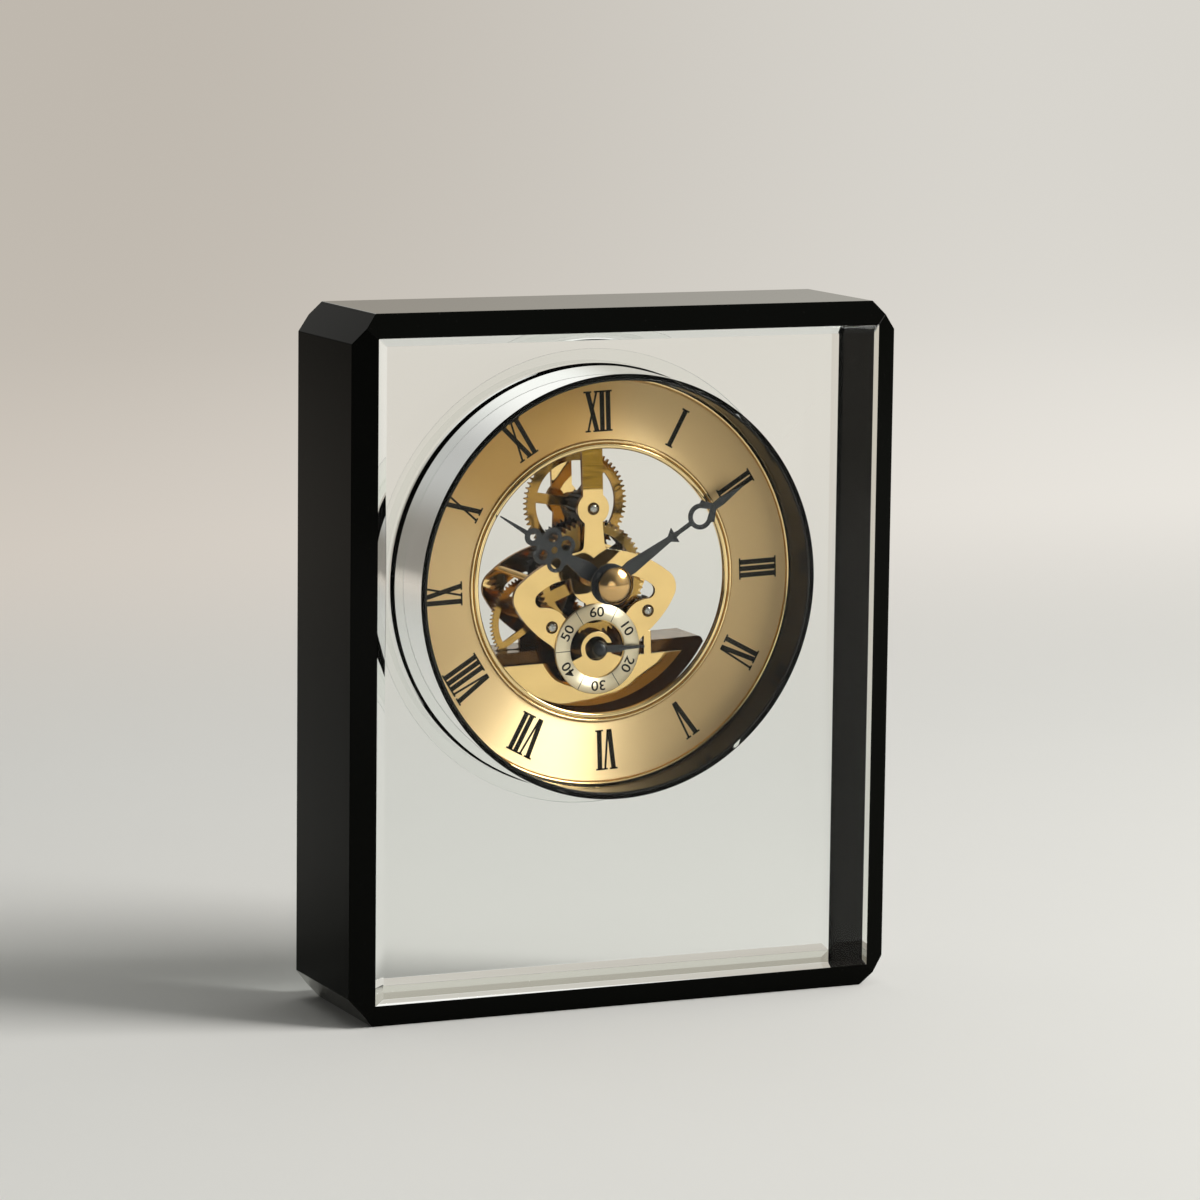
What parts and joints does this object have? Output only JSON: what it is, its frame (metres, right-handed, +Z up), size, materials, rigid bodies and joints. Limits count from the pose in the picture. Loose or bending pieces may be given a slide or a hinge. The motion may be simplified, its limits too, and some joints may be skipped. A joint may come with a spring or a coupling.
{
  "type": "table clock",
  "caption": "Clear glass block table clock with black glass edges, polished bevels and a round open gear-train insert with a gilt numeral ring and pierced hands.",
  "frame": {"origin": "middle of the flat base on the table", "axes": "+Z up, the dial looks along -Y, +X to the right as seen from the front"},
  "size_m": [0.125, 0.0459, 0.15],
  "materials": {
    "clear_glass": "polished lead crystal",
    "black_glass": "polished, opaque",
    "case_black": "gloss black lacquer",
    "grip_rubber": "matt",
    "clear_window": "polished clear window",
    "dial_gilt": "satin gilt with polished beads",
    "dial_champagne": "satin champagne",
    "plate_gilt": "mirror gilt",
    "wheel_brass": "polished",
    "bright_steel": "polished",
    "arbor_steel": "satin",
    "wheel_black": "gloss black",
    "hand_black": "gloss blue-black",
    "dark_plastic": "gloss dark brown",
    "black_plastic": "fine satin",
    "white_plastic": "satin",
    "board_green": "gloss solder mask",
    "copper_coil": "wound copper wire",
    "spring_brass": "satin",
    "iron_grey": "satin"
  },
  "bodies": {
    "block": {"crystal_block": "clear_glass", "left_plate": "black_glass", "right_plate": "black_glass", "top_plate": "black_glass", "bottom_plate": "black_glass"},
    "insert": {"case_tube": "case_black", "rear_flange": "clear_window", "grip_ring": "grip_rubber", "rear_window": "clear_window", "dial_ring": "dial_gilt", "sub_dial": "dial_champagne", "dial_posts": "dark_plastic", "front_plate": "plate_gilt", "rear_plate": "plate_gilt", "plate_pillars": "spring_brass", "bearing_caps": "bright_steel", "base_plate": "plate_gilt", "motor_housing": "dark_plastic", "housing_lid": "dark_plastic", "circuit_board": "board_green", "quartz_can": "bright_steel", "stator": "iron_grey", "coil": "copper_coil", "contact_springs": "spring_brass"},
    "minute_group": {"centre_arbor": "wheel_brass", "minute_hand": "hand_black", "hand_collar": "hand_black", "gilt_cap": "plate_gilt"},
    "top_group": {"top_wheel": "wheel_brass"},
    "hour_group": {"hour_wheel": "wheel_brass", "hour_hand": "hand_black"},
    "setting_group": {"setting_arbor": "arbor_steel", "setting_knob": "black_plastic"},
    "seconds_group": {"seconds_wheel": "wheel_brass", "seconds_hand": "hand_black"},
    "third_group": {"third_wheel": "wheel_brass"},
    "centre_group": {"centre_wheel": "wheel_black"},
    "motor_group": {"motor_wheel": "white_plastic"},
    "rotor_group": {"rotor": "iron_grey"},
    "hatch": {"battery_hatch": "black_plastic"},
    "cell": {"battery_cell": "arbor_steel"}
  },
  "joints": [
    {"name": "insert_slide", "type": "slide", "parent": "block", "child": "insert", "axis": [0, 1, 0], "range_m": [0, 0.04]},
    {"name": "minute_turn", "type": "hinge", "parent": "insert", "child": "minute_group", "pos_m": [0, 0, 0.09], "axis": [0, 1, 0], "continuous": true},
    {"name": "top_turn", "type": "hinge", "parent": "insert", "child": "top_group", "pos_m": [-0.00055, 0, 0.10499], "axis": [0, 1, 0], "continuous": true},
    {"name": "hour_turn", "type": "hinge", "parent": "insert", "child": "hour_group", "pos_m": [0, 0, 0.09], "axis": [0, 1, 0], "continuous": true},
    {"name": "setting_turn", "type": "hinge", "parent": "insert", "child": "setting_group", "pos_m": [0.01234, 0, 0.08257], "axis": [0, 1, 0], "continuous": true},
    {"name": "seconds_turn", "type": "hinge", "parent": "insert", "child": "seconds_group", "pos_m": [0.00055, 0, 0.07501], "axis": [0, 1, 0], "continuous": true},
    {"name": "third_turn", "type": "hinge", "parent": "insert", "child": "third_group", "pos_m": [-0.00981, 0, 0.08001], "axis": [0, 1, 0], "continuous": true},
    {"name": "centre_turn", "type": "hinge", "parent": "insert", "child": "centre_group", "pos_m": [0, 0, 0.09], "axis": [0, 1, 0], "continuous": true},
    {"name": "motor_turn", "type": "hinge", "parent": "insert", "child": "motor_group", "pos_m": [-0.00248, 0, 0.06848], "axis": [0, 1, 0], "continuous": true},
    {"name": "rotor_turn", "type": "hinge", "parent": "insert", "child": "rotor_group", "pos_m": [-0.00794, 0, 0.06721], "axis": [0, 1, 0], "continuous": true},
    {"name": "hatch_slide", "type": "slide", "parent": "insert", "child": "hatch", "axis": [0, 1, 0], "range_m": [0, 0.03]},
    {"name": "cell_slide", "type": "slide", "parent": "insert", "child": "cell", "axis": [0, 1, 0], "range_m": [0, 0.015]}
  ],
  "couplings": [
    {"joint": "top_turn", "follows": "minute_turn", "ratio": -0.3125},
    {"joint": "hour_turn", "follows": "minute_turn", "ratio": 0.083333},
    {"joint": "setting_turn", "follows": "minute_turn", "ratio": -0.38462},
    {"joint": "third_turn", "follows": "seconds_turn", "ratio": -0.13333},
    {"joint": "centre_turn", "follows": "seconds_turn", "ratio": 0.016667},
    {"joint": "motor_turn", "follows": "seconds_turn", "ratio": -5},
    {"joint": "rotor_turn", "follows": "seconds_turn", "ratio": 30},
    {"joint": "cell_slide", "follows": "hatch_slide", "ratio": 0.5}
  ]
}
